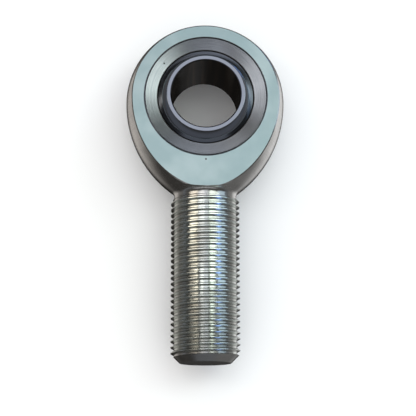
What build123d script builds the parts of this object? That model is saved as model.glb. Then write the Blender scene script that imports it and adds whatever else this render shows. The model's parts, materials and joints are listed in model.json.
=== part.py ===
"""Male rod end with a 3/4 inch bore and a 3/4-16 right-hand shank.

Frame: origin at the centre of the ball, +Z along the bore, shank towards -Y.
Pieces: a turned and face-milled body, an outer race pressed into it, a thin
self-lubricating liner inside the race, and the bored ball that turns in it.
"""

from build123d import *
import math
import os

os.makedirs("parts", exist_ok=True)

# ---- driving dimensions, in millimetres and degrees ----

# ball
bore_diameter = 19.05
ball_width = 22.225
ball_land_width = 1.25
bore_chamfer = 0.33
ball_edge_radius = 0.15

# liner
liner_thickness = 0.2
liner_end_gap = 0.12
running_clearance = 0.03

# outer race
race_wall = 1.33
race_lip_recess = 0.73
race_bevel = 0.42

# head of the body
head_width = 17.4625
head_wall = 5.156
shoulder_radius = 32.0
face_cut_margin = 3.375
face_edge_break = 0.2
seat_edge_break = 0.12

# neck and threaded shank
centre_to_end = 73.025
neck_length = 2.3
neck_relief = 0.03
neck_fillet = 1.5
thread_diameter = 19.0
thread_pitch = 1.5875
thread_angle = 60.0
tip_chamfer = 2.4

# small round indents left by the hardness test
indent_diameter = 0.5
indent_depth = 0.22
body_indent_beyond_seat = 1.03
race_indent_inside_seat = 2.17
race_indent_direction = 141.0

# ---- proportions of the unified thread form, as shares of the pitch ----

thread_depth_share = 5 / 16 * math.sqrt(3)
root_flat_share = 1 / 4
tool_flank_overrun_share = 0.03
tool_reach_share = 0.25
tool_lead_in_share = 0.85
tool_turns = 4

# edges are picked out by place to within this distance
pick_tolerance = 1e-4

# ---- sizes that follow from them ----

bore_radius = bore_diameter / 2
ball_half_width = ball_width / 2
ball_land_radius = bore_radius + ball_land_width
ball_radius = math.hypot(ball_land_radius, ball_half_width)

liner_inner_radius = ball_radius + running_clearance
liner_outer_radius = liner_inner_radius + liner_thickness
race_inner_radius = liner_outer_radius + running_clearance
race_outer_radius = race_inner_radius + race_wall

head_half_width = head_width / 2
head_radius = race_outer_radius + head_wall
face_cut_radius = head_radius + face_cut_margin
race_lip_height = head_half_width - race_lip_recess
liner_half_height = race_lip_height - liner_end_gap

thread_radius = thread_diameter / 2
thread_depth = thread_depth_share * thread_pitch
root_flat = root_flat_share * thread_pitch
root_radius = thread_radius - thread_depth
neck_radius = root_radius - neck_relief
start_chamfer = thread_radius - neck_radius

shoulder_centre = head_radius - shoulder_radius
shoulder_end = math.sqrt(shoulder_radius**2 - (neck_radius - shoulder_centre) ** 2)
thread_start = shoulder_end + neck_length
thread_length = centre_to_end - thread_start


def make_ball():
    """Sphere with two flat ends and a chamfered through bore."""
    with BuildPart() as ball:
        with BuildSketch(Plane.XZ):
            with BuildLine():
                Polyline(
                    (ball_land_radius, ball_half_width),
                    (0, ball_half_width),
                    (0, -ball_half_width),
                    (ball_land_radius, -ball_half_width),
                )
                ThreePointArc(
                    (ball_land_radius, -ball_half_width),
                    (ball_radius, 0),
                    (ball_land_radius, ball_half_width),
                )
            make_face()
        revolve(axis=Axis.Z)
        rims = ball.edges().filter_by(GeomType.CIRCLE)
        fillet(rims, ball_edge_radius)
        Hole(bore_radius)
        mouths = ball.edges().filter_by(GeomType.CIRCLE).filter_by(
            lambda edge: abs(edge.radius - bore_radius) < pick_tolerance
        )
        chamfer(mouths, bore_chamfer)
    return ball


def make_liner():
    """Thin ring between two spheres, which fills the space between the race and the ball."""
    inner_end = math.sqrt(liner_inner_radius**2 - liner_half_height**2)
    outer_end = math.sqrt(liner_outer_radius**2 - liner_half_height**2)
    with BuildPart() as liner:
        with BuildSketch(Plane.XZ):
            with BuildLine():
                ThreePointArc(
                    (inner_end, -liner_half_height),
                    (liner_inner_radius, 0),
                    (inner_end, liner_half_height),
                )
                Line((inner_end, liner_half_height), (outer_end, liner_half_height))
                ThreePointArc(
                    (outer_end, liner_half_height),
                    (liner_outer_radius, 0),
                    (outer_end, -liner_half_height),
                )
                Line((outer_end, -liner_half_height), (inner_end, -liner_half_height))
            make_face()
        revolve(axis=Axis.Z)
    return liner


def make_race():
    """Ring with a spherical inside, dished end faces and bevelled outer corners."""
    lip_radius = math.sqrt(race_inner_radius**2 - race_lip_height**2)
    bevel_radius = race_outer_radius - race_bevel
    bevel_height = head_half_width - race_bevel
    dish_angle = math.atan2(race_lip_recess, bevel_radius - lip_radius)
    indent_radius = race_outer_radius - race_indent_inside_seat
    indent_height = head_half_width - (bevel_radius - indent_radius) * math.tan(dish_angle)
    direction = math.radians(race_indent_direction)
    with BuildPart() as race:
        with BuildSketch(Plane.XZ):
            with BuildLine():
                Polyline(
                    (lip_radius, -race_lip_height),
                    (bevel_radius, -head_half_width),
                    (race_outer_radius, -bevel_height),
                    (race_outer_radius, bevel_height),
                    (bevel_radius, head_half_width),
                    (lip_radius, race_lip_height),
                )
                ThreePointArc(
                    (lip_radius, race_lip_height),
                    (race_inner_radius, 0),
                    (lip_radius, -race_lip_height),
                )
            make_face()
        revolve(axis=Axis.Z)
        make_indent(indent_radius * math.cos(direction), indent_radius * math.sin(direction), indent_height)
    return race


def make_indent(x, y, height):
    """Cuts a small cone into the part being built, with its mouth at the given height."""
    with Locations((x, y, height)):
        Cone(0, indent_diameter / 2, indent_depth, align=(Align.CENTER, Align.CENTER, Align.MAX),
             mode=Mode.SUBTRACT)


def make_thread_groove():
    """A few turns of the helical V groove, with straight walls outside the crests."""
    half_root = root_flat / 2
    flank_reach = thread_depth + tool_flank_overrun_share * thread_pitch
    wall_reach = thread_depth + tool_reach_share * thread_pitch
    half_mouth = half_root + flank_reach * math.tan(math.radians(thread_angle / 2))
    with BuildPart() as groove:
        with BuildLine() as path:
            Helix(thread_pitch, tool_turns * thread_pitch, root_radius, direction=(0, -1, 0))
        first = path.line @ 0
        outward = Vector(first.X, 0, first.Z).normalized()
        with BuildSketch(Plane(origin=first, x_dir=outward, z_dir=path.line % 0)):
            with BuildLine():
                Polyline(
                    (0, -half_root),
                    (flank_reach, -half_mouth),
                    (wall_reach, -half_mouth),
                    (wall_reach, half_mouth),
                    (flank_reach, half_mouth),
                    (0, half_root),
                    close=True,
                )
            make_face()
        sweep(path=path.line, is_frenet=True)
    return groove


def make_body():
    """Turned head, neck and shank with milled faces, race seat and thread."""
    middle_turn = math.asin(shoulder_end / shoulder_radius) / 2
    shoulder_middle = (
        shoulder_centre + shoulder_radius * math.cos(middle_turn),
        -shoulder_radius * math.sin(middle_turn),
    )
    crown_middle = (head_radius * math.sin(math.pi / 4), head_radius * math.cos(math.pi / 4))
    groove = make_thread_groove()
    groove_start = thread_start - tool_lead_in_share * thread_pitch
    block_length = tool_turns * thread_pitch
    blocks = math.ceil((centre_to_end - groove_start) / block_length)
    with BuildPart() as body:
        with BuildSketch(Plane.XY) as outline:
            with BuildLine():
                ThreePointArc((0, head_radius), crown_middle, (head_radius, 0))
                ThreePointArc((head_radius, 0), shoulder_middle, (neck_radius, -shoulder_end))
                Polyline(
                    (neck_radius, -shoulder_end),
                    (neck_radius, -thread_start + start_chamfer),
                    (thread_radius, -thread_start),
                    (thread_radius, -centre_to_end + tip_chamfer),
                    (thread_radius - tip_chamfer, -centre_to_end),
                    (0, -centre_to_end),
                    (0, head_radius),
                )
            make_face()
            neck_corner = outline.vertices().sort_by_distance((neck_radius, -shoulder_end))[0]
            fillet(neck_corner, neck_fillet)
        revolve(axis=Axis.Y)
        for side in (1, -1):
            with BuildSketch(Plane.XY.offset(side * head_half_width)):
                Circle(face_cut_radius)
            extrude(amount=side * head_radius, mode=Mode.SUBTRACT)
        milled_faces = body.faces().filter_by(GeomType.PLANE).filter_by(
            lambda face: abs(abs(face.center().Z) - head_half_width) < pick_tolerance
        )
        face_rims = milled_faces.edges().filter_by(is_mill_stop, reverse=True)
        chamfer(face_rims, face_edge_break)
        with BuildSketch(Plane.XY):
            Circle(race_outer_radius)
        extrude(amount=head_half_width, both=True, mode=Mode.SUBTRACT)
        seat_rims = body.edges().filter_by(GeomType.CIRCLE).filter_by(
            lambda edge: abs(edge.radius - race_outer_radius) < pick_tolerance
        )
        chamfer(seat_rims, seat_edge_break)
        make_indent(0, -race_outer_radius - body_indent_beyond_seat, head_half_width)
        for block in range(blocks):
            with Locations((0, -groove_start - block * block_length, 0)):
                add(groove.part, mode=Mode.SUBTRACT, clean=False)
    return body


def is_mill_stop(edge):
    """Whether an edge lies where the face mill stopped against the neck."""
    return edge.geom_type == GeomType.CIRCLE and abs(edge.radius - face_cut_radius) < pick_tolerance


pieces = {
    "rod_end_body": make_body(),
    "outer_race": make_race(),
    "liner": make_liner(),
    "ball": make_ball(),
}

for name, piece in pieces.items():
    piece.part.label = name
    export_step(piece.part, f"parts/{name}.step")
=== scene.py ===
"""Studio scene for a male rod end bearing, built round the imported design."""

import json
import logging
import math
from dataclasses import dataclass, field
from enum import Enum

import bpy
from mathutils import Matrix, Vector

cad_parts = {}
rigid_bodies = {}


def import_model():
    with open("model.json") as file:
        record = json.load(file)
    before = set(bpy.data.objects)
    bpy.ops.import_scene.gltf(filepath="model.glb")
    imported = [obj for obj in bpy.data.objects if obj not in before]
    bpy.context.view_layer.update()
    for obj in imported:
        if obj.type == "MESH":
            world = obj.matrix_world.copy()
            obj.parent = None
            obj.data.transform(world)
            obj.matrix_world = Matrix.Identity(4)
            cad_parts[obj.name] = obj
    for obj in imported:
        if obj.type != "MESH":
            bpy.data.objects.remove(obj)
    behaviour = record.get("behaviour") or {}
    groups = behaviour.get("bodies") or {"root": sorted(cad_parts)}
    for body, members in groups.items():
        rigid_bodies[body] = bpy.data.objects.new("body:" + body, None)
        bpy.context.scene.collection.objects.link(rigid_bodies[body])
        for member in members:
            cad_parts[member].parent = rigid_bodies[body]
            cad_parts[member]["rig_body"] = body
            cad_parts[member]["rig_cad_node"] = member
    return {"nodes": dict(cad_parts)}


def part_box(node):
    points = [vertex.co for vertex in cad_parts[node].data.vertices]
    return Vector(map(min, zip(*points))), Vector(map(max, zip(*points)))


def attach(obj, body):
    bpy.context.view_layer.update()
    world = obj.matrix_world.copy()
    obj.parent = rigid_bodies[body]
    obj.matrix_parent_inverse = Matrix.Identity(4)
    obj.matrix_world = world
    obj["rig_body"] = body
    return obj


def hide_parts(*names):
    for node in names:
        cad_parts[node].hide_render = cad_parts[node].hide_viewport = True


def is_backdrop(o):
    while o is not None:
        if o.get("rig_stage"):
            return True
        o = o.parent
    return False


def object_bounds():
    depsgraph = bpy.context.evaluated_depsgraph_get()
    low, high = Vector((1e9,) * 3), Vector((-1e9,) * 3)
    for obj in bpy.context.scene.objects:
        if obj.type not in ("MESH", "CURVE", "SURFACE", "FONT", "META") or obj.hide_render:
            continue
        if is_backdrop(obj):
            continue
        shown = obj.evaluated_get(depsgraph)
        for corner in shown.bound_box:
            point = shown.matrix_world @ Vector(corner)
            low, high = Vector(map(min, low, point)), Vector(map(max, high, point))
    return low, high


MM = 0.001
WELD = 1e-6
SEAM_WELD = 1e-7
SEGMENTS = 256
SMOOTH = {"interpolation_type": "SMOOTHSTEP"}
COLOURS = {"data_type": "RGBA"}
LOG = logging.getLogger("rod_end")


class Slot(Enum):
    """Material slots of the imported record."""

    BODY = "plated_body"
    RACE = "race_steel"
    LINER = "liner_fabric"
    BALL = "ball_chrome"


# ---------------------------------------------------------------- small helpers


def srgb(code: str) -> tuple[float, float, float, float]:
    """Turns an sRGB hex colour into a linear one.

    Args:
        code: six hex digits, with or without a leading hash.

    Returns:
        Linear red, green, blue and an alpha of one.
    """
    digits = code.lstrip("#")
    shares = [int(digits[i : i + 2], 16) / 255 for i in (0, 2, 4)]
    linear = [s / 12.92 if s <= 0.04045 else ((s + 0.055) / 1.055) ** 2.4 for s in shares]
    return (*linear, 1.0)


def add_node(
    tree: bpy.types.NodeTree,
    kind: str,
    settings: dict[str, object] | None = None,
    inputs: dict[str | int, object] | None = None,
) -> bpy.types.Node:
    """Adds a node, sets its properties and fills or links its inputs.

    Args:
        tree: node tree that gets the node.
        kind: the node's type, without the ShaderNode prefix.
        settings: property names and values.
        inputs: input names or numbers, with a value or another node's output socket.

    Returns:
        The new node.
    """
    node = tree.nodes.new("ShaderNode" + kind)
    for name, value in (settings or {}).items():
        setattr(node, name, value)
    for name, value in (inputs or {}).items():
        if isinstance(value, bpy.types.NodeSocket):
            tree.links.new(value, node.inputs[name])
        else:
            node.inputs[name].default_value = value
    return node


def new_material(name: str) -> tuple[bpy.types.Material, bpy.types.NodeTree]:
    """Makes an empty node material with an output node.

    Args:
        name: the material's name.

    Returns:
        The material and its node tree.
    """
    material = bpy.data.materials.new(name)
    material.use_nodes = True
    material.node_tree.nodes.clear()
    return material, material.node_tree


def finish_material(tree: bpy.types.NodeTree, shader: bpy.types.Node) -> None:
    """Links a shader to a new output node.

    Args:
        tree: the material's node tree.
        shader: the node whose first output is the surface.
    """
    add_node(tree, "OutputMaterial", inputs={"Surface": shader.outputs[0]})


def arc(
    centre: tuple[float, float], radius: float, start: float, end: float, steps: int
) -> list[tuple[float, float]]:
    """Points along an arc in the section plane.

    Args:
        centre: distance from the axis and height of the arc's centre.
        radius: radius of the arc.
        start: first angle in degrees from the outward direction.
        end: last angle in degrees.
        steps: number of equal parts.

    Returns:
        Pairs of distance from the axis and height.
    """
    angles = [math.radians(start + (end - start) * i / steps) for i in range(steps + 1)]
    return [(centre[0] + radius * math.cos(a), centre[1] + radius * math.sin(a)) for a in angles]


def turn_profile(name: str, outline: list[tuple[float, float]], segments: int) -> bpy.types.Object:
    """Turns a closed outline about Z, as loops extruded from a circle and bridged at the end.

    Args:
        name: name of the new piece.
        outline: distance from the axis and height of each loop, in metres, anticlockwise.
        segments: number of points in each loop.

    Returns:
        The new piece, at the origin.
    """
    bpy.ops.object.select_all(action="DESELECT")
    radius, height = outline[0]
    bpy.ops.mesh.primitive_circle_add(vertices=segments, radius=radius, location=(0, 0, 0))
    piece = bpy.context.active_object
    piece.name = name
    bpy.ops.object.mode_set(mode="EDIT")
    bpy.ops.mesh.select_all(action="SELECT")
    bpy.ops.transform.translate(value=(0, 0, height))
    for next_radius, next_height in outline[1:]:
        bpy.ops.mesh.extrude_edges_move()
        scale = next_radius / radius
        bpy.ops.transform.resize(value=(scale, scale, 1), center_override=(0, 0, 0))
        bpy.ops.transform.translate(value=(0, 0, next_height - height))
        radius, height = next_radius, next_height
    bpy.ops.object.mode_set(mode="OBJECT")
    loops = len(outline)
    for vertex in piece.data.vertices:
        vertex.select = vertex.index < segments or vertex.index >= (loops - 1) * segments
    for edge in piece.data.edges:
        first, second = (i // segments for i in edge.vertices)
        edge.select = first == second and first in (0, loops - 1)
    bpy.ops.object.mode_set(mode="EDIT")
    bpy.context.tool_settings.mesh_select_mode = (False, True, False)
    bpy.ops.mesh.bridge_edge_loops()
    bpy.ops.mesh.select_all(action="SELECT")
    bpy.ops.mesh.remove_doubles(threshold=SEAM_WELD)
    bpy.ops.mesh.normals_make_consistent(inside=False)
    bpy.ops.object.mode_set(mode="OBJECT")
    return piece


def shade(piece: bpy.types.Object, angle: float = 30) -> None:
    """Shades a piece smooth, with creases sharper than the angle kept.

    Args:
        piece: the piece.
        angle: largest smooth angle in degrees.
    """
    bpy.ops.object.select_all(action="DESELECT")
    piece.select_set(True)
    bpy.context.view_layer.objects.active = piece
    bpy.ops.object.shade_smooth_by_angle(angle=math.radians(angle))


def dress(piece: bpy.types.Object, material: bpy.types.Material) -> None:
    """Gives a piece one material.

    Args:
        piece: the piece.
        material: its material.
    """
    piece.data.materials.clear()
    piece.data.materials.append(material)


def welded_copy(source: bpy.types.Object, name: str) -> bpy.types.Object:
    """Copies a node of the design and merges its loose triangles into one surface.

    Args:
        source: the design's node.
        name: name of the new piece.

    Returns:
        The new piece, at the origin.
    """
    piece = source.copy()
    piece.data = source.data.copy()
    piece.name = name
    piece.parent = None
    bpy.context.scene.collection.objects.link(piece)
    bpy.ops.object.select_all(action="DESELECT")
    piece.select_set(True)
    bpy.context.view_layer.objects.active = piece
    if piece.data.has_custom_normals:
        bpy.ops.mesh.customdata_custom_splitnormals_clear()
    bpy.ops.object.mode_set(mode="EDIT")
    bpy.ops.mesh.select_all(action="SELECT")
    bpy.ops.mesh.remove_doubles(threshold=WELD)
    bpy.ops.object.mode_set(mode="OBJECT")
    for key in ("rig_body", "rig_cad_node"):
        if key in piece:
            del piece[key]
    return piece


# ---------------------------------------------------------------- finishes


def cylinder_coordinates(
    tree: bpy.types.NodeTree, axis: str
) -> tuple[bpy.types.NodeSocket, bpy.types.NodeSocket]:
    """Gives the distance from an axis through the origin, and the place along it.

    Args:
        tree: the material's node tree.
        axis: Y or Z.

    Returns:
        The sockets for the distance and the place along the axis, in metres.
    """
    coords = add_node(tree, "TexCoord")
    along = add_node(tree, "SeparateXYZ", inputs={0: coords.outputs["Object"]})
    flatten = (1, 0, 1) if axis == "Y" else (1, 1, 0)
    across = add_node(
        tree, "VectorMath", {"operation": "MULTIPLY"}, {0: coords.outputs["Object"], 1: flatten}
    )
    distance = add_node(tree, "VectorMath", {"operation": "LENGTH"}, {0: across.outputs[0]})
    return distance.outputs["Value"], along.outputs[axis]


@dataclass(frozen=True)
class MilledZinc:
    """Zinc plate with a clear blue passivate over a milled steel face."""

    base: str = "B0C1C2"
    clouded: str = "9FB3B5"
    roughness: float = 0.33
    roughness_swing: float = 0.05
    cloud_size: float = 11 * MM
    grain_size: float = 0.3 * MM
    grain_depth: float = 0.012 * MM
    grain_strength: float = 0.25

    def material(self) -> bpy.types.Material:
        """Builds the material.

        Returns:
            A satin blue-grey metal with faint clouds and a fine, even grain.
        """
        # the plating follows the mill's fine marks, which gives the eye a soft, cool,
        # slightly sparkling face with no clear reflections
        material, tree = new_material("zinc_plate_milled")
        coords = add_node(tree, "TexCoord")
        clouds = add_node(
            tree,
            "TexNoise",
            inputs={"Vector": coords.outputs["Object"], "Scale": 1 / self.cloud_size, "Detail": 3.0},
        )
        # the real grain is under a tenth of a millimetre, too fine to show, so it is drawn coarser
        grain = add_node(
            tree,
            "TexNoise",
            inputs={"Vector": coords.outputs["Object"], "Scale": 1 / self.grain_size, "Detail": 5.0},
        )
        cloudy = add_node(
            tree,
            "MapRange",
            SMOOTH,
            {"Value": clouds.outputs[0], "From Min": 0.35, "From Max": 0.65},
        )
        colour = add_node(
            tree, "Mix", COLOURS, {0: cloudy.outputs[0], 6: srgb(self.base), 7: srgb(self.clouded)}
        )
        roughness = add_node(
            tree,
            "MapRange",
            SMOOTH,
            {
                "Value": grain.outputs[0],
                "From Min": 0.2,
                "From Max": 0.8,
                "To Min": self.roughness - self.roughness_swing,
                "To Max": self.roughness + self.roughness_swing,
            },
        )
        bump = add_node(
            tree,
            "Bump",
            inputs={
                "Height": grain.outputs[0],
                "Strength": self.grain_strength,
                "Distance": self.grain_depth,
            },
        )
        shader = add_node(
            tree,
            "BsdfPrincipled",
            inputs={
                "Base Color": colour.outputs[2],
                "Metallic": 1.0,
                "Roughness": roughness.outputs[0],
                "Normal": bump.outputs[0],
            },
        )
        finish_material(tree, shader)
        return material


@dataclass(frozen=True)
class TurnedZinc:
    """Zinc plate over steel turned about the shank's axis."""

    base: str = "C4C3C1"
    clouded: str = "B2B1AF"
    roughness: float = 0.2
    smoothest: float = 0.04
    roughest: float = 0.06
    cloud_size: float = 7 * MM
    mark_spacing: float = 0.4 * MM
    mark_depth: float = 0.008 * MM
    mark_strength: float = 0.2

    def material(self) -> bpy.types.Material:
        """Builds the material.

        Returns:
            A brighter, warmer metal with round tool marks in planes across the shank's axis.
        """
        # the plating is thin over the turned skin, which gives the eye clear but slightly
        # streaky reflections of the room
        material, tree = new_material("zinc_plate_turned")
        coords = add_node(tree, "TexCoord")
        _, along = cylinder_coordinates(tree, "Y")
        clouds = add_node(
            tree,
            "TexNoise",
            inputs={"Vector": coords.outputs["Object"], "Scale": 1 / self.cloud_size, "Detail": 3.0},
        )
        # a lathe's feed is about 0.1 mm a turn, too fine to show, so the marks are drawn coarser
        band_place = add_node(tree, "CombineXYZ", inputs={"X": along})
        bands = add_node(
            tree,
            "TexNoise",
            inputs={"Vector": band_place.outputs[0], "Scale": 1 / self.mark_spacing, "Detail": 2.0},
        )
        cloudy = add_node(
            tree,
            "MapRange",
            SMOOTH,
            {"Value": clouds.outputs[0], "From Min": 0.35, "From Max": 0.65},
        )
        colour = add_node(
            tree, "Mix", COLOURS, {0: cloudy.outputs[0], 6: srgb(self.base), 7: srgb(self.clouded)}
        )
        roughness = add_node(
            tree,
            "MapRange",
            SMOOTH,
            {
                "Value": bands.outputs[0],
                "From Min": 0.3,
                "From Max": 0.7,
                "To Min": self.roughness - self.smoothest,
                "To Max": self.roughness + self.roughest,
            },
        )
        bump = add_node(
            tree,
            "Bump",
            inputs={
                "Height": bands.outputs[0],
                "Strength": self.mark_strength,
                "Distance": self.mark_depth,
            },
        )
        shader = add_node(
            tree,
            "BsdfPrincipled",
            inputs={
                "Base Color": colour.outputs[2],
                "Metallic": 1.0,
                "Roughness": roughness.outputs[0],
                "Normal": bump.outputs[0],
            },
        )
        finish_material(tree, shader)
        return material


@dataclass(frozen=True)
class RolledZinc:
    """Zinc plate over a rolled thread, with painted shade in patches deep in its roots."""

    base: str = "D6DAD7"
    root_shade_colour: str = "8E8A84"
    least_root_shade: float = 0.15
    most_root_shade: float = 0.6
    roughness: float = 0.19
    roughness_swing: float = 0.05
    cloud_size: float = 6 * MM
    root_radius: float = 8.64 * MM
    crest_radius: float = 9.5 * MM

    def material(self) -> bpy.types.Material:
        """Builds the material.

        Returns:
            A smooth bright metal with painted shade low in the thread, in patches.
        """
        # rolling burnishes the thread, which gives the eye bright lines along each turn,
        # broken into columns where the room's lights end
        material, tree = new_material("zinc_plate_rolled")
        coords = add_node(tree, "TexCoord")
        distance, _ = cylinder_coordinates(tree, "Y")
        clouds = add_node(
            tree,
            "TexNoise",
            inputs={"Vector": coords.outputs["Object"], "Scale": 1 / self.cloud_size, "Detail": 4.0},
        )
        # painted shade: the colour turns darker deeper in the thread, in patches
        deep = add_node(
            tree,
            "MapRange",
            SMOOTH,
            {
                "Value": distance,
                "From Min": self.crest_radius - 0.2 * MM,
                "From Max": self.root_radius + 0.05 * MM,
            },
        )
        patchy = add_node(
            tree,
            "MapRange",
            SMOOTH,
            {
                "Value": clouds.outputs[0],
                "From Min": 0.35,
                "From Max": 0.65,
                "To Min": self.least_root_shade,
                "To Max": self.most_root_shade,
            },
        )
        root_shade = add_node(
            tree, "Math", {"operation": "MULTIPLY"}, {0: deep.outputs[0], 1: patchy.outputs[0]}
        )
        colour = add_node(
            tree, "Mix", COLOURS, {0: root_shade.outputs[0], 6: srgb(self.base), 7: srgb(self.root_shade_colour)}
        )
        roughness = add_node(
            tree,
            "MapRange",
            SMOOTH,
            {
                "Value": clouds.outputs[0],
                "From Min": 0.3,
                "From Max": 0.7,
                "To Min": self.roughness - self.roughness_swing,
                "To Max": self.roughness + self.roughness_swing,
            },
        )
        shader = add_node(
            tree,
            "BsdfPrincipled",
            inputs={
                "Base Color": colour.outputs[2],
                "Metallic": 1.0,
                "Roughness": roughness.outputs[0],
            },
        )
        finish_material(tree, shader)
        return material


@dataclass(frozen=True)
class TurnedSteel:
    """Bare hardened steel with the fine round marks of a lathe tool."""

    base: str = "A0A3A8"
    dark: str = "84888E"
    roughness: float = 0.19
    smoothest: float = 0.015
    roughest: float = 0.02
    anisotropy: float = 0.93
    mark_spacing: float = 0.16 * MM
    mark_depth: float = 0.008 * MM
    mark_strength: float = 0.5
    patch_size: float = 5 * MM
    indent: tuple[float, float, float] = (-11.58 * MM, 9.38 * MM, 8.2 * MM)
    indent_shade_colour: str = "1E1C1A"

    def material(self) -> bpy.types.Material:
        """Builds the material.

        Returns:
            A grey metal with round tool marks, whose highlights spread into two opposite wedges.
        """
        # the tool's marks run round the ring, which gives the eye bright wedges that stay put
        # while the ring turns, and a silky look across them
        material, tree = new_material("hardened_steel_turned")
        coords = add_node(tree, "TexCoord")
        distance, _ = cylinder_coordinates(tree, "Z")
        ring_place = add_node(tree, "CombineXYZ", inputs={"X": distance})
        # real turning marks are finer than this, too fine to show, so they are drawn coarser
        marks = add_node(
            tree,
            "TexNoise",
            inputs={"Vector": ring_place.outputs[0], "Scale": 1 / self.mark_spacing, "Detail": 3.0},
        )
        patches = add_node(
            tree,
            "TexNoise",
            inputs={"Vector": coords.outputs["Object"], "Scale": 1 / self.patch_size, "Detail": 4.0},
        )
        marked = add_node(
            tree,
            "MapRange",
            SMOOTH,
            {"Value": marks.outputs[0], "From Min": 0.35, "From Max": 0.65},
        )
        turned = add_node(
            tree, "Mix", COLOURS, {0: marked.outputs[0], 6: srgb(self.dark), 7: srgb(self.base)}
        )
        # painted shade sits as a dark dot in the little indent
        reach = add_node(
            tree, "VectorMath", {"operation": "DISTANCE"}, {0: coords.outputs["Object"], 1: self.indent}
        )
        indent_shade = add_node(
            tree,
            "MapRange",
            SMOOTH,
            {"Value": reach.outputs["Value"], "From Min": 0.32 * MM, "From Max": 0.22 * MM},
        )
        colour = add_node(
            tree, "Mix", COLOURS, {0: indent_shade.outputs[0], 6: turned.outputs[2], 7: srgb(self.indent_shade_colour)}
        )
        roughness = add_node(
            tree,
            "MapRange",
            SMOOTH,
            {
                "Value": patches.outputs[0],
                "From Min": 0.3,
                "From Max": 0.7,
                "To Min": self.roughness - self.smoothest,
                "To Max": self.roughness + self.roughest,
            },
        )
        bump = add_node(
            tree,
            "Bump",
            inputs={
                "Height": marks.outputs[0],
                "Strength": self.mark_strength,
                "Distance": self.mark_depth,
            },
        )
        tangent = add_node(tree, "Tangent", {"direction_type": "RADIAL", "axis": "Z"})
        shader = add_node(
            tree,
            "BsdfPrincipled",
            inputs={
                "Base Color": colour.outputs[2],
                "Metallic": 1.0,
                "Roughness": roughness.outputs[0],
                "Anisotropic": self.anisotropy,
                "Normal": bump.outputs[0],
                "Tangent": tangent.outputs[0],
            },
        )
        finish_material(tree, shader)
        return material


@dataclass(frozen=True)
class HardChrome:
    """Polished hard chrome over ground bearing steel, honed in the bore."""

    base: str = "8C9099"
    bore_shade_colour: str = "1C1A19"
    bore_streak_colour: str = "5A4A3C"
    roughness: float = 0.06
    smudge_roughness: float = 0.08
    honed_roughness: float = 0.03
    smudge_size: float = 6 * MM
    bore_radius: float = 9.525 * MM
    streak_spacing: float = 1.3 * MM
    streak_squeeze: float = 0.03
    streak_depth: float = 0.02 * MM
    streak_strength: float = 0.12

    def material(self) -> bpy.types.Material:
        """Builds the material.

        Returns:
            A dark mirror with faint smudges, and a bore painted dark as shade, with brownish streaks
            along it.
        """
        # polished chrome gives the eye a near mirror that turns dark wherever the room is dark, while
        # the bore is painted dark as shade, with brown streaks along its length
        material, tree = new_material("hard_chrome_polished")
        coords = add_node(tree, "TexCoord")
        distance, _ = cylinder_coordinates(tree, "Z")
        smudges = add_node(
            tree,
            "TexNoise",
            inputs={"Vector": coords.outputs["Object"], "Scale": 1 / self.smudge_size, "Detail": 4.0},
        )
        # streaks run along the bore, so the pattern is squeezed flat in height
        squeeze = add_node(
            tree,
            "VectorMath",
            {"operation": "MULTIPLY"},
            {0: coords.outputs["Object"], 1: (1, 1, self.streak_squeeze)},
        )
        streaks = add_node(
            tree,
            "TexNoise",
            inputs={"Vector": squeeze.outputs[0], "Scale": 1 / self.streak_spacing, "Detail": 4.0},
        )
        in_bore = add_node(
            tree,
            "MapRange",
            SMOOTH,
            {
                "Value": distance,
                "From Min": self.bore_radius + 0.2 * MM,
                "From Max": self.bore_radius + 0.05 * MM,
            },
        )
        streaky = add_node(
            tree,
            "MapRange",
            SMOOTH,
            {"Value": streaks.outputs[0], "From Min": 0.45, "From Max": 0.65},
        )
        # painted shade in the bore: nearly black, with brown streaks along it
        bore = add_node(
            tree,
            "Mix",
            COLOURS,
            {0: streaky.outputs[0], 6: srgb(self.bore_shade_colour), 7: srgb(self.bore_streak_colour)},
        )
        colour = add_node(
            tree, "Mix", COLOURS, {0: in_bore.outputs[0], 6: srgb(self.base), 7: bore.outputs[2]}
        )
        film = add_node(
            tree,
            "MapRange",
            SMOOTH,
            {
                "Value": smudges.outputs[0],
                "From Min": 0.45,
                "From Max": 0.8,
                "To Min": self.roughness,
                "To Max": self.roughness + self.smudge_roughness,
            },
        )
        honed = add_node(
            tree,
            "Math",
            {"operation": "MULTIPLY_ADD"},
            {0: in_bore.outputs[0], 1: self.honed_roughness, 2: film.outputs[0]},
        )
        bump = add_node(
            tree,
            "Bump",
            inputs={
                "Height": streaks.outputs[0],
                "Strength": self.streak_strength,
                "Distance": self.streak_depth,
            },
        )
        shader = add_node(
            tree,
            "BsdfPrincipled",
            inputs={
                "Base Color": colour.outputs[2],
                "Metallic": 1.0,
                "Roughness": honed.outputs[0],
                "Normal": bump.outputs[0],
            },
        )
        finish_material(tree, shader)
        return material


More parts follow.
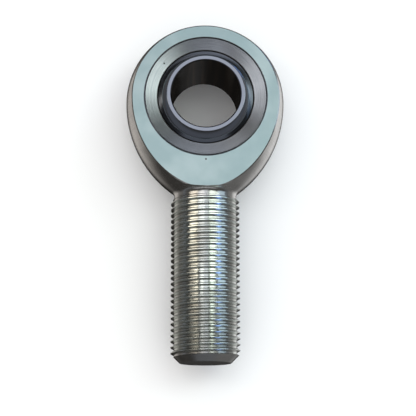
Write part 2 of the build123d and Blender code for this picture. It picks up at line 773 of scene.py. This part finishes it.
@dataclass(frozen=True)
class WovenLiner:
    """Dark woven liner filled with dry lubricant."""

    thread: str = "2A2622"
    gap: str = "0E0C0B"
    roughness: float = 0.75
    yarn_width: float = 0.25 * MM
    yarn_relief: float = 0.03 * MM
    weave_strength: float = 0.5
    sphere_radius: float = 15.6 * MM

    def material(self) -> bpy.types.Material:
        """Builds the material.

        Returns:
            A matt, nearly black cloth with a fine over-and-under weave.
        """
        # woven cloth filled with dry lubricant gives the eye a matt, nearly black line
        material, tree = new_material("woven_ptfe_liner")
        coords = add_node(tree, "TexCoord")
        parts = add_node(tree, "SeparateXYZ", inputs={0: coords.outputs["Object"]})
        turn = add_node(
            tree, "Math", {"operation": "ARCTAN2"}, {0: parts.outputs["Y"], 1: parts.outputs["X"]}
        )
        length = add_node(
            tree, "Math", {"operation": "MULTIPLY"}, {0: turn.outputs[0], 1: self.sphere_radius}
        )
        place = add_node(tree, "CombineXYZ", inputs={"X": length.outputs[0], "Y": parts.outputs["Z"]})
        weave = add_node(
            tree,
            "TexChecker",
            inputs={
                "Vector": place.outputs[0],
                "Color1": srgb(self.thread),
                "Color2": srgb(self.gap),
                "Scale": 1 / self.yarn_width,
            },
        )
        bump = add_node(
            tree,
            "Bump",
            inputs={
                "Height": weave.outputs["Fac"],
                "Strength": self.weave_strength,
                "Distance": self.yarn_relief,
            },
        )
        shader = add_node(
            tree,
            "BsdfPrincipled",
            inputs={
                "Base Color": weave.outputs["Color"],
                "Roughness": self.roughness,
                "Normal": bump.outputs[0],
            },
        )
        finish_material(tree, shader)
        return material


# ---------------------------------------------------------------- pieces


@dataclass
class Housing:
    """Plated body with its head, neck and threaded shank."""

    node: str = "rod_end_body"
    thread_start: float = 28.3 * MM
    tip_start: float = 70.6 * MM
    face_height: float = 8.73 * MM
    smooth_angle: float = 25
    plane_tolerance: float = 0.01 * MM
    flat_normal: float = 0.999
    milled: MilledZinc = field(default_factory=MilledZinc)
    turned: TurnedZinc = field(default_factory=TurnedZinc)
    rolled: RolledZinc = field(default_factory=RolledZinc)

    def build(self, nodes: dict[str, bpy.types.Object]) -> bpy.types.Object:
        """Makes a welded copy of the body and dresses it.

        Args:
            nodes: the design's nodes by name.

        Returns:
            The new piece.
        """
        piece = welded_copy(nodes[self.node], "body_shell")
        shade(piece, self.smooth_angle)
        self.dress_regions(piece)
        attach(piece, "housing")
        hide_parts(self.node)
        return piece

    def dress_regions(self, piece: bpy.types.Object) -> None:
        """Gives the milled faces, the turned skin and the rolled thread their own finish.

        Args:
            piece: the welded body.
        """
        piece.data.materials.clear()
        for finish in (self.turned, self.milled, self.rolled):
            piece.data.materials.append(finish.material())
        turned_slot, milled_slot, rolled_slot = range(3)
        for face in piece.data.polygons:
            on_thread = -self.tip_start < face.center.y < -self.thread_start
            on_plane = abs(abs(face.center.z) - self.face_height) < self.plane_tolerance
            is_milled = on_plane and abs(face.normal.z) > self.flat_normal
            if on_thread:
                face.material_index = rolled_slot
            else:
                face.material_index = milled_slot if is_milled else turned_slot


@dataclass
class Race:
    """Steel ring with a spherical inside, dished ends and a small indent."""

    node: str = "outer_race"
    finish: TurnedSteel = field(default_factory=TurnedSteel)

    def build(self, nodes: dict[str, bpy.types.Object]) -> bpy.types.Object:
        """Makes a welded copy of the ring and dresses it.

        Args:
            nodes: the design's nodes by name.

        Returns:
            The new piece.
        """
        piece = welded_copy(nodes[self.node], "race_ring")
        shade(piece)
        dress(piece, self.finish.material())
        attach(piece, "housing")
        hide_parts(self.node)
        return piece


@dataclass
class Liner:
    """Thin liner ring between race and ball."""

    node: str = "liner"
    inner_sphere: float = 15.5086 * MM
    outer_sphere: float = 15.7086 * MM
    arc_steps: int = 24
    finish: WovenLiner = field(default_factory=WovenLiner)

    def build(self) -> bpy.types.Object:
        """Turns the liner and dresses it.

        Returns:
            The new piece.
        """
        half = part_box(self.node)[1].z
        inner_angle = math.degrees(math.asin(half / self.inner_sphere))
        outer_angle = math.degrees(math.asin(half / self.outer_sphere))
        outline = [
            *arc((0, 0), self.outer_sphere, -outer_angle, outer_angle, self.arc_steps),
            *arc((0, 0), self.inner_sphere, inner_angle, -inner_angle, self.arc_steps),
        ]
        piece = turn_profile("liner_ring", outline, SEGMENTS)
        shade(piece)
        dress(piece, self.finish.material())
        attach(piece, "liner")
        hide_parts(self.node)
        return piece


@dataclass
class Ball:
    """Bored ball with two flat ends."""

    node: str = "ball"
    bore_radius: float = 9.525 * MM
    mouth_chamfer: float = 0.33 * MM
    edge_radius: float = 0.15 * MM
    edge_steps: int = 5
    sphere_steps: int = 64
    finish: HardChrome = field(default_factory=HardChrome)

    def build(self) -> bpy.types.Object:
        """Turns the ball and dresses it.

        Returns:
            The new piece.
        """
        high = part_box(self.node)[1]
        radius, half = high.x, high.z
        # the small edge round touches the sphere and the flat end from inside
        round_height = half - self.edge_radius
        round_distance = math.sqrt((radius - self.edge_radius) ** 2 - round_height**2)
        meet = math.degrees(math.atan2(round_height, round_distance))
        outline = [
            (self.bore_radius + self.mouth_chamfer, -half),
            *arc((round_distance, -round_height), self.edge_radius, -90, -meet, self.edge_steps),
            *arc((0, 0), radius, -meet, meet, self.sphere_steps)[1:-1],
            *arc((round_distance, round_height), self.edge_radius, meet, 90, self.edge_steps),
            (self.bore_radius + self.mouth_chamfer, half),
            (self.bore_radius, half - self.mouth_chamfer),
            (self.bore_radius, -half + self.mouth_chamfer),
        ]
        piece = turn_profile("ball_bored", outline, SEGMENTS)
        shade(piece)
        dress(piece, self.finish.material())
        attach(piece, "ball")
        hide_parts(self.node)
        return piece


# ---------------------------------------------------------------- studio


@dataclass(frozen=True)
class Softbox:
    """One rectangular studio light that points at the part."""

    name: str
    direction: tuple[float, float, float]
    distance: float
    size: tuple[float, float]
    power: float
    colour: str = "FFFFFF"

    def build(self, aim: Vector) -> None:
        """Adds the light.

        Args:
            aim: the point that the light faces.
        """
        data = bpy.data.lights.new(self.name, "AREA")
        data.shape = "RECTANGLE"
        data.size, data.size_y = self.size
        data.energy = self.power
        data.color = srgb(self.colour)[:3]
        light = bpy.data.objects.new(self.name, data)
        bpy.context.scene.collection.objects.link(light)
        away = Vector(self.direction).normalized()
        light.location = aim + away * self.distance
        light.rotation_mode = "QUATERNION"
        light.rotation_quaternion = (-away).to_track_quat("-Z", "Y")


@dataclass
class Studio:
    """Pale floor, soft lights and the camera."""

    aim: tuple[float, float, float] = (0.8 * MM, -29.94 * MM, 0.0)
    distance: float = 342.4 * MM
    elevation: float = 77.79
    azimuth: float = -8.07
    roll: float = 0.12
    lens: float = 106.4
    sensor_width: float = 36.0
    clip_start: float = 0.01
    floor_size: float = 6.0
    floor_colour: str = "F2F2F2"
    floor_roughness: float = 0.9
    ground: str = "1C1A18"
    left_wall: str = "D2CDC8"
    right_wall: str = "FFFFFF"
    upper_wall: str = "504F4D"
    horizon: str = "777A7F"
    backdrop: str = "F4F4F4"
    fill: float = 1.0
    boxes: tuple[Softbox, ...] = (
        Softbox("ceiling", (0.055, 0.36, 0.93), 1.0, (0.27, 0.72), 0.82, "E8ECF4"),
        Softbox("ceiling_front", (-0.02, -0.13, 0.99), 1.0, (0.35, 0.12), 0.13, "E8ECF4"),
        Softbox("left_warm", (-0.69, 0.17, 0.72), 0.9, (0.12, 0.5), 0.50, "FFF3E0"),
        Softbox("back_white", (-0.14, 0.61, 0.78), 0.9, (0.14, 0.16), 0.08, "FFFFFF"),
        Softbox("left_white", (-0.27, 0.20, 0.94), 0.9, (0.22, 0.34), 0.48, "FFFFFF"),
        Softbox("right_teal", (0.26, 0.24, 0.93), 0.9, (0.12, 0.5), 0.05, "E2F6EE"),
        Softbox("right_green", (0.515, 0.24, 0.82), 0.9, (0.26, 0.6), 1.35, "F4FFF6"),
        Softbox("window_blue", (0.84, 0.24, 0.48), 0.9, (0.45, 0.5), 0.85, "D2ECFF"),
        Softbox("front_fill", (0.0, -0.80, 0.60), 0.9, (1.1, 0.36), 0.70, "F2F5FA"),
        Softbox("back_fill", (-0.62, 0.66, 0.42), 0.9, (0.5, 0.24), 0.14, "F6F2EE"),
        Softbox("back_blue", (0.60, 0.70, 0.39), 0.9, (0.25, 0.2), 0.55, "8FB4FF"),
    )

    def build_camera(self) -> None:
        """Adds the camera, which looks steeply down the bore from the shank's end."""
        data = bpy.data.cameras.new("camera")
        data.lens = self.lens
        data.sensor_width = self.sensor_width
        data.clip_start = self.clip_start
        camera = bpy.data.objects.new("camera", data)
        bpy.context.scene.collection.objects.link(camera)
        across = math.radians(self.azimuth)
        up = math.radians(self.elevation)
        back = Vector(
            (math.sin(across) * math.cos(up), -math.cos(across) * math.cos(up), math.sin(up))
        )
        camera.location = Vector(self.aim) + back * self.distance
        camera.rotation_mode = "QUATERNION"
        forward = -back
        # the picture's up direction is the part's +Y seen along the view, turned by the roll
        upward = (Vector((0, 1, 0)) - forward * forward.y).normalized()
        right = forward.cross(upward)
        turn = math.radians(self.roll)
        upward = upward * math.cos(turn) + right * math.sin(turn)
        right = forward.cross(upward)
        camera.rotation_quaternion = Matrix((right, upward, back)).transposed().to_quaternion()
        bpy.context.scene.camera = camera

    def build_floor(self, height: float) -> None:
        """Adds the floor just under the part.

        Args:
            height: the floor's height.
        """
        bpy.ops.object.select_all(action="DESELECT")
        bpy.ops.mesh.primitive_plane_add(size=self.floor_size, location=(0, 0, height))
        floor = bpy.context.active_object
        floor.name = "floor"
        floor.visible_glossy = False
        # matt painted board, which gives the eye a plain pale ground with soft shadows
        material, tree = new_material("matt_floor")
        shader = add_node(
            tree,
            "BsdfPrincipled",
            inputs={"Base Color": srgb(self.floor_colour), "Roughness": self.floor_roughness},
        )
        finish_material(tree, shader)
        dress(floor, material)
        floor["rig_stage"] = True

    def build_room(self, tree: bpy.types.NodeTree) -> bpy.types.NodeSocket:
        """Draws the room that the polished parts mirror.

        Args:
            tree: the world's node tree.

        Returns:
            The socket with the room's colour in each direction.
        """
        coords = add_node(tree, "TexCoord")
        way = add_node(tree, "SeparateXYZ", inputs={0: coords.outputs["Generated"]})
        side, back, height = way.outputs["X"], way.outputs["Y"], way.outputs["Z"]
        # below the part the room is dark, with pale paper beside the part and in front on the right
        aside = add_node(tree, "Math", {"operation": "ABSOLUTE"}, {0: side})
        beside = add_node(
            tree, "MapRange", SMOOTH, {"Value": aside.outputs[0], "From Min": 0.3, "From Max": 0.48}
        )
        steep = add_node(
            tree,
            "MapRange",
            SMOOTH,
            {"Value": height, "From Min": -0.35, "From Max": -0.7, "To Min": 0.3, "To Max": 1},
        )
        near = add_node(
            tree, "Math", {"operation": "MULTIPLY"}, {0: beside.outputs[0], 1: steep.outputs[0]}
        )
        front = add_node(
            tree,
            "MapRange",
            SMOOTH,
            {"Value": side, "From Min": -0.05, "From Max": 0.3, "To Min": 0.06, "To Max": 0.2},
        )
        behind = add_node(
            tree, "MapRange", SMOOTH, {"Value": back, "From Min": -0.5, "From Max": 0.1}
        )
        paper = add_node(
            tree, "Mix", inputs={0: behind.outputs[0], 2: front.outputs[0], 3: near.outputs[0]}
        )
        rightward = add_node(
            tree, "MapRange", SMOOTH, {"Value": side, "From Min": -0.1, "From Max": 0.1}
        )
        walls = add_node(
            tree,
            "Mix",
            COLOURS,
            {0: rightward.outputs[0], 6: srgb(self.left_wall), 7: srgb(self.right_wall)},
        )
        below = add_node(
            tree, "Mix", COLOURS, {0: paper.outputs[0], 6: srgb(self.ground), 7: walls.outputs[2]}
        )
        above = add_node(
            tree, "MapRange", SMOOTH, {"Value": height, "From Min": -0.12, "From Max": 0.05}
        )
        room = add_node(
            tree, "Mix", COLOURS, {0: above.outputs[0], 6: below.outputs[2], 7: srgb(self.upper_wall)}
        )
        # a paler band at table height, which the bevels and the shank's tip pick up
        rising = add_node(
            tree, "MapRange", SMOOTH, {"Value": height, "From Min": -0.08, "From Max": 0.02}
        )
        fading = add_node(
            tree, "MapRange", SMOOTH, {"Value": height, "From Min": 0.28, "From Max": 0.12}
        )
        band = add_node(
            tree, "Math", {"operation": "MULTIPLY"}, {0: rising.outputs[0], 1: fading.outputs[0]}
        )
        banded = add_node(
            tree, "Mix", COLOURS, {0: band.outputs[0], 6: room.outputs[2], 7: srgb(self.horizon)}
        )
        return banded.outputs[2]

    def build_world(self) -> None:
        """Sets the surroundings: a dim room in reflections, and pale behind the part."""
        world = bpy.data.worlds.new("studio")
        bpy.context.scene.world = world
        world.use_nodes = True
        tree = world.node_tree
        tree.nodes.clear()
        path = add_node(tree, "LightPath")
        mirrored = add_node(
            tree, "Background", inputs={"Color": self.build_room(tree), "Strength": 1.0}
        )
        soft = add_node(
            tree, "Background", inputs={"Color": srgb(self.backdrop), "Strength": self.fill}
        )
        behind = add_node(
            tree, "Background", inputs={"Color": srgb(self.backdrop), "Strength": 1.0}
        )
        lit = add_node(
            tree,
            "MixShader",
            inputs={0: path.outputs["Is Glossy Ray"], 1: soft.outputs[0], 2: mirrored.outputs[0]},
        )
        mix = add_node(
            tree,
            "MixShader",
            inputs={0: path.outputs["Is Camera Ray"], 1: lit.outputs[0], 2: behind.outputs[0]},
        )
        add_node(tree, "OutputWorld", inputs={"Surface": mix.outputs[0]})

    def build(self, floor_height: float) -> None:
        """Builds the whole studio.

        Args:
            floor_height: the height that the part stands on.
        """
        self.build_camera()
        self.build_floor(floor_height)
        self.build_world()
        for box in self.boxes:
            box.build(Vector((0.0, 0.0, 0.0)))
        # plain display colours, so that the hex values come out as they are written
        bpy.context.scene.view_settings.view_transform = "Standard"


def main() -> None:
    """Loads the design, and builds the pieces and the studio."""
    logging.basicConfig(level=logging.INFO)
    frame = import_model()
    cad_low, cad_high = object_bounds()
    nodes = frame["nodes"]
    for piece in (Housing().build(nodes), Race().build(nodes), Liner().build(), Ball().build()):
        LOG.info("built %s with %d faces", piece.name, len(piece.data.polygons))
    Studio().build(cad_low.z)


if __name__ == "__main__":
    main()
